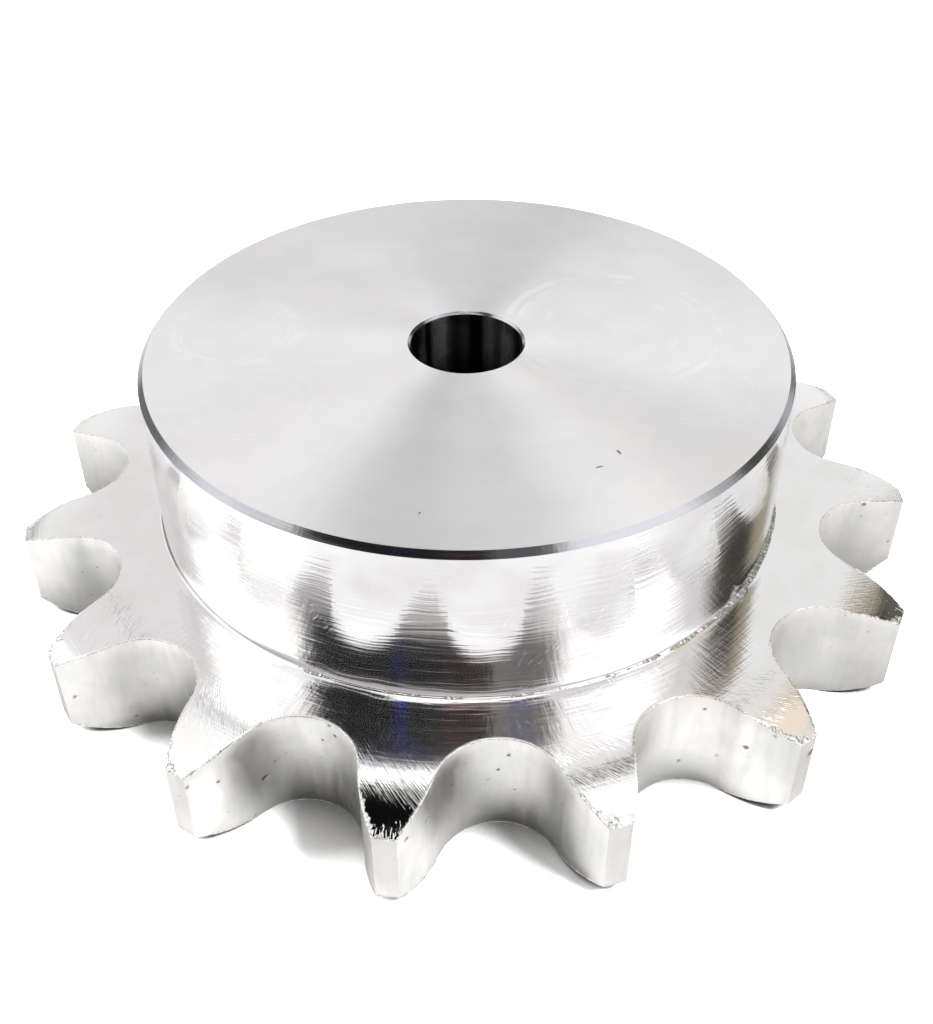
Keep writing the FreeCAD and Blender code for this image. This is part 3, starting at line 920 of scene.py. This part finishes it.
# %% [markdown]
# ## Hobbed walls and tip lands
# The walls of the gaps are hobbed: many short cuts, one beside the other, leave faint streaks that run up
# and down the wall, and a satin that is far duller than turned metal. It has a cloudy tint, warmer here
# and greener there, and pits where the metal tore, small, dark and mostly slanted. The wall map carries
# all of it, in millimetres. A pit is a cell of a Voronoi pattern: most cells are left out by chance, and
# the others differ in size. The lands at the tips are the turned rim of the blank, a little lighter and
# almost without pits.

# %% The hobbed finish, for walls and lands
# name, tints, roughness, share of cells with a pit, depth of the streaks in mm
HOBBED_KINDS = {
    HOBBED: ("stainless_hobbed", "#F0EDEA", "#E5E5E1", 0.36, 0.16, 0.0030),
    LAND: ("stainless_tip_land", "#E3DFDE", "#DCD9D7", 0.42, 0.08, 0.0020),
}
for band, (name, warm, green, roughness, pitted, depth) in HOBBED_KINDS.items():
    material, tree, shader, place = steel(name, warm, roughness, 0.0)
    wall = add(tree, "UVMap", uv_map="wall")
    tall = add(tree, "VectorMath", {0: wall, 1: (1.3, 9.0, 1)}, operation="DIVIDE")
    streaks = add(tree, "TexNoise", {"Vector": tall, "Scale": 1.0, "Detail": 3.0})
    cloud = add(tree, "TexNoise", {"Vector": place, "Scale": 1 / 5, "Detail": 3.0})
    stain = add(tree, "TexNoise", {"Vector": place, "Scale": 1 / 1.6, "Detail": 4.0})

    turn_back = {"Vector": wall, "Angle": math.radians(-35)}
    slanted = add(tree, "VectorRotate", turn_back, rotation_type="Z_AXIS")
    cells = add(tree, "VectorMath", {0: slanted, 1: (2.6, 2.0, 1)}, operation="DIVIDE")
    spots = add(tree, "TexVoronoi", {"Vector": cells, "Scale": 1.0}, voronoi_dimensions="2D")
    chance = add(tree, "SeparateColor", {0: spots.outputs["Color"]})
    size = add(tree, "MapRange", {0: chance, 1: 1 - pitted, 2: 1.0, 3: 0.0, 4: 0.22}, **SMOOTH)
    uneven = add(tree, "Math", {0: stain, 1: 0.75, 2: spots.outputs["Distance"]}, operation="MULTIPLY_ADD")
    depth_in = add(tree, "Math", {0: size, 1: uneven}, operation="SUBTRACT")
    pits = add(tree, "MapRange", {0: depth_in, 1: -0.31, 2: -0.19}, **SMOOTH)
    rim_dirt = add(tree, "MapRange", {0: depth_in, 1: -0.42, 2: -0.24, 3: 0.0, 4: 0.35}, **SMOOTH)

    greener = add(tree, "MapRange", {0: cloud, 1: 0.36, 2: 0.62}, **SMOOTH)
    marks = add(tree, "MapRange", {0: streaks, 1: 0.45, 2: 0.80, 3: 0.0, 4: 0.22}, **SMOOTH)
    holes = add(tree, "Math", {0: pits, 1: 0.75}, **TIMES)
    tints = (greener, green), (marks, "#C4C5C0"), (rim_dirt, "#9A9890"), (holes, "#5A564E")
    painted(tree, shader, warm, *tints)
    rough = {0: streaks, 1: 0.3, 2: 0.7, 3: roughness - 0.05, 4: roughness + 0.06}
    rough = add(tree, "MapRange", rough, **SMOOTH)
    tree.links.new(rough.outputs[0], shader.inputs["Roughness"])
    sunk = add(tree, "Math", {0: pits, 1: -1}, **TIMES)
    cut_into(tree, shader, (streaks, depth), (cloud, 0.05), (sunk, 0.06))
    finishes[band] = material
    print(name, "made with", len(tree.nodes), "nodes")

# %% [markdown]
# ## The back, the bore, and torn metal
# The back face is faced like the front, with a coarser feed. The bore is drilled and reamed, with lines
# round its wall. Its colour is painted shade, much darker than the face, and painted reflections run up
# it as light bands. Burrs and crumbs are torn metal without a direction: light, grainy and dull.

# %% The remaining finishes
# name, colour, roughness, anisotropy, groove spacing in mm, groove depth in mm
PLAIN_CUTS = {
    BACK: ("stainless_back_face", "#DEDDDF", 0.34, 0.85, 0.45, 0.0060),
    BORED: ("stainless_reamed_bore", "#98989A", 0.22, 0.80, 0.35, 0.0040),
}
for band, (name, colour, roughness, anisotropy, spacing, depth) in PLAIN_CUTS.items():
    material, tree, shader, place = steel(name, colour, roughness, anisotropy)
    across_the_grooves(tree, shader, place)
    across = from_axis(tree, place)
    if band == BORED:
        across = add(tree, "SeparateXYZ", {0: place}).outputs["Z"]
    lines = around_axis(tree, place, across, spacing, 20)
    cloud = add(tree, "TexNoise", {"Vector": place, "Scale": 1 / 8, "Detail": 2.0})
    rough = {0: cloud, 1: 0.35, 2: 0.65, 3: roughness - 0.04, 4: roughness + 0.06}
    rough = add(tree, "MapRange", rough, **SMOOTH)
    tree.links.new(rough.outputs[0], shader.inputs["Roughness"])
    if band == BORED:
        # painted shade and painted reflections: the bore's colour is dark, with light bands that run up its
        # wall
        upright = add(tree, "VectorMath", {0: place, 1: (1 / 3.2, 1 / 3.2, 0)}, **TIMES)
        painted_reflection_bands = add(tree, "TexNoise", {"Vector": upright, "Scale": 1.0, "Detail": 1.0})
        painted_reflection_bands = add(tree, "MapRange", {0: painted_reflection_bands, 1: 0.44, 2: 0.60}, **SMOOTH)
        painted(tree, shader, "#3C3C3E", (painted_reflection_bands, "#DCDEDC"))
    cut_into(tree, shader, (lines, depth), (cloud, 0.004))
    finishes[band] = material

# pieces, name, colour, roughness, size and depth of the grain in mm, where it turns light, dark tint
GRAINY = [
    (burrs, "stainless_torn_edge", "#F4F4F4", 0.38, 0.25, 0.03, 0.35, 0.60, "#B9B8B4"),
    ([crust], "stainless_rubbed_crumbs", "#B0B0AE", 0.42, 0.35, 0.02, 0.52, 0.68, "#A3A3A0"),
]
for pieces, name, colour, roughness, grain_size, depth, start, end, tint in GRAINY:
    material, tree, shader, place = steel(name, colour, roughness, 0.0)
    grain = add(tree, "TexNoise", {"Vector": place, "Scale": 1 / grain_size, "Detail": 2.0})
    light = add(tree, "MapRange", {0: grain, 1: start, 2: end}, **SMOOTH)
    painted(tree, shader, tint, (light, "#FFFFFF"))
    cut_into(tree, shader, (grain, depth))
    for piece in pieces:
        piece.data.materials.append(material)

for band in range(len(finishes)):
    body_mesh.materials.append(finishes[band])
print(len(finishes) + len(GRAINY), "finishes of one steel")

# %% [markdown]
# ## Onto the frame
# The skin stands for the part's solid, and the burrs and the crust go with it. All of them ride on the
# one body that the part has.

# %% Ride on the frame and finish
for piece in [body, crust] + burrs:
    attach(piece, "root")
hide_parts("sprocket")
